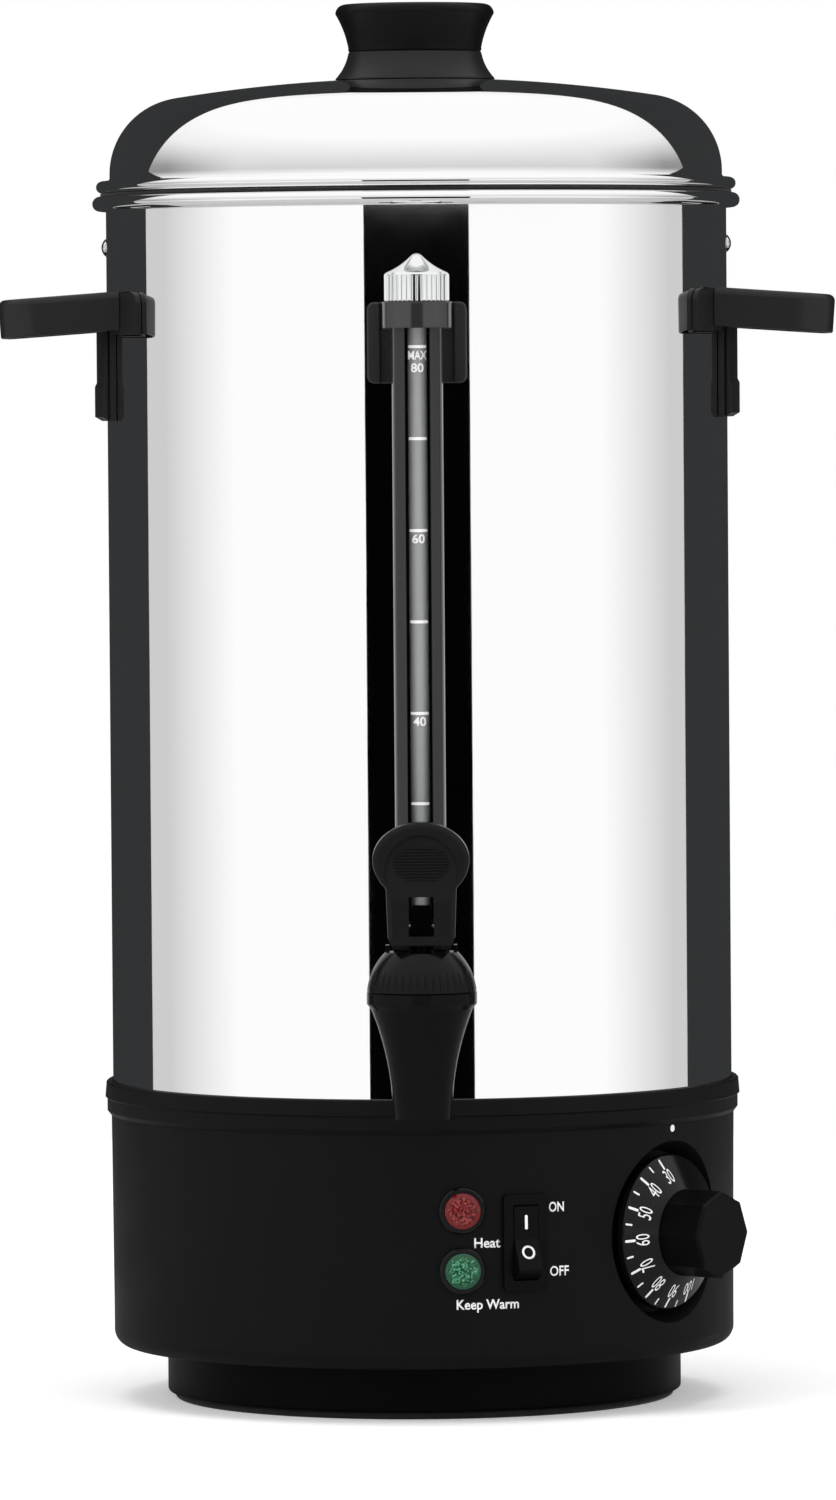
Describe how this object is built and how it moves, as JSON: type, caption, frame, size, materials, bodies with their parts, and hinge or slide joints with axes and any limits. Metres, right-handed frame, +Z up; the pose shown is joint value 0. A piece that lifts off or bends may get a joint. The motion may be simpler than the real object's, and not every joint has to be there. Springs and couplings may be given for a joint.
{
  "type": "mulled wine urn",
  "caption": "Upright heated drinks urn: steel drum with lid, side handles, level gauge and lever tap over a black base with thermostat dial, rocker switch and pilot lamps.",
  "frame": {"origin": "on the drum's axis, in the plane of the rubber foot ring that the urn stands on", "axes": "+Z up along the drum's axis; -Y points to the front, where the tap and the gauge are; +Y points to the back, where the cord leaves"},
  "size_m": [0.2944, 0.2886, 0.494],
  "materials": {
    "polished_steel": "mirror-polished stainless steel",
    "plain_steel": "zinc-plated or stainless steel, satin",
    "base_plastic": "moulded, semi-gloss black",
    "foot_plastic": "moulded, satin black",
    "foot_rubber": "soft, matt black",
    "handle_plastic": "moulded, fine satin black",
    "tap_plastic": "moulded, semi-gloss black",
    "dial_plastic": "moulded, glossy black",
    "switch_plastic": "moulded, semi-gloss black",
    "silicone": "translucent silicone rubber",
    "black_silicone": "black silicone rubber",
    "clear_glass": "clear polished tube",
    "dark_phenolic": "pressed resin, matt",
    "copper": "drawn copper tube",
    "brass": "stamped and turned brass",
    "red_lens": "clear red, polished",
    "green_lens": "clear green, polished",
    "element_steel": "drawn steel tube, heat-tinted",
    "plate_aluminium": "cast aluminium, machined flat",
    "white_plastic": "moulded, natural white",
    "wire_cover": "heat-proof silicone-covered wire"
  },
  "bodies": {
    "root": {"tank": "polished_steel", "base_collar": "base_plastic", "base_shell": "base_plastic", "base_plate": "foot_plastic", "foot_ring": "foot_rubber", "tie_rods": "plain_steel", "tie_rod_nuts": "plain_steel", "handle_mount_left": "handle_plastic", "handle_mount_right": "handle_plastic", "handle_left": "handle_plastic", "handle_right": "handle_plastic", "handle_screws": "plain_steel", "lid_lock_studs": "polished_steel", "tap_body": "tap_plastic", "tap_bonnet": "tap_plastic", "tap_seals": "silicone", "tap_lock_nut": "tap_plastic", "tap_spring": "plain_steel", "tap_seat_cup": "silicone", "gauge_tube": "clear_glass", "gauge_shield": "tap_plastic", "gauge_cap": "polished_steel", "gauge_bracket": "tap_plastic", "gauge_seals": "silicone", "gauge_bracket_screws": "plain_steel", "thermostat_body": "dark_phenolic", "thermostat_screws": "plain_steel", "thermostat_bulb": "copper", "capillary_tube": "copper", "bulb_clips": "plain_steel", "switch_frame": "switch_plastic", "switch_terminals": "brass", "lamp_lens_heat": "red_lens", "lamp_lens_warm": "green_lens", "lamp_housings": "switch_plastic", "heating_element": "element_steel", "heater_plate": "plate_aluminium", "thermal_cutout": "plain_steel", "heat_shield": "plain_steel", "terminal_block": "white_plastic", "earth_stud": "brass", "cord_gland": "base_plastic", "cord_gland_nut": "base_plastic", "wiring": "wire_cover"},
    "valve": {"tap_stem": "tap_plastic", "lever_pin": "plain_steel"},
    "lever": {"tap_lever": "tap_plastic"},
    "lid_seal": {"lid_seal": "black_silicone"},
    "lid": {"lid_shell": "polished_steel", "lid_lock_ring": "plain_steel", "lid_knob_base": "handle_plastic", "lid_knob": "handle_plastic", "lid_knob_screw": "plain_steel", "lid_knob_washer": "plain_steel"},
    "dial": {"thermostat_grip": "dial_plastic", "dial_disc": "dial_plastic", "thermostat_shaft": "plain_steel"},
    "rocker": {"switch_rocker": "switch_plastic"}
  },
  "joints": [
    {"name": "lid_lift", "type": "slide", "parent": "root", "child": "lid_seal", "axis": [0, 0, 1], "range_m": [0, 0.12]},
    {"name": "lid_twist", "type": "hinge", "parent": "lid_seal", "child": "lid", "pos_m": [0, 0, 0.4266], "axis": [0, 0, -1], "range_deg": [0, 25]},
    {"name": "valve_lift", "type": "slide", "parent": "root", "child": "valve", "axis": [0, 0, 1], "range_m": [0, 0.0035], "deforming": ["tap_spring", "tap_seat_cup"]},
    {"name": "tap_lever", "type": "hinge", "parent": "valve", "child": "lever", "pos_m": [0, -0.155, 0.1755], "axis": [1, 0, 0], "range_deg": [0, 40], "stiffness_Nm_per_rad": 0.15, "springref_deg": -28.65},
    {"name": "thermostat_knob", "type": "hinge", "parent": "root", "child": "dial", "pos_m": [0.08274, -0.06464, 0.063], "axis": [-0.788, 0.6157, 0], "range_deg": [0, 205]},
    {"name": "switch_rocker", "type": "hinge", "parent": "root", "child": "rocker", "pos_m": [0.03407, -0.10242, 0.063], "axis": [0.9489, 0.3156, 0], "range_deg": [0, 28]}
  ],
  "couplings": [
    {"joint": "valve_lift", "follows": "tap_lever", "m_per_rad": 0.005013}
  ]
}
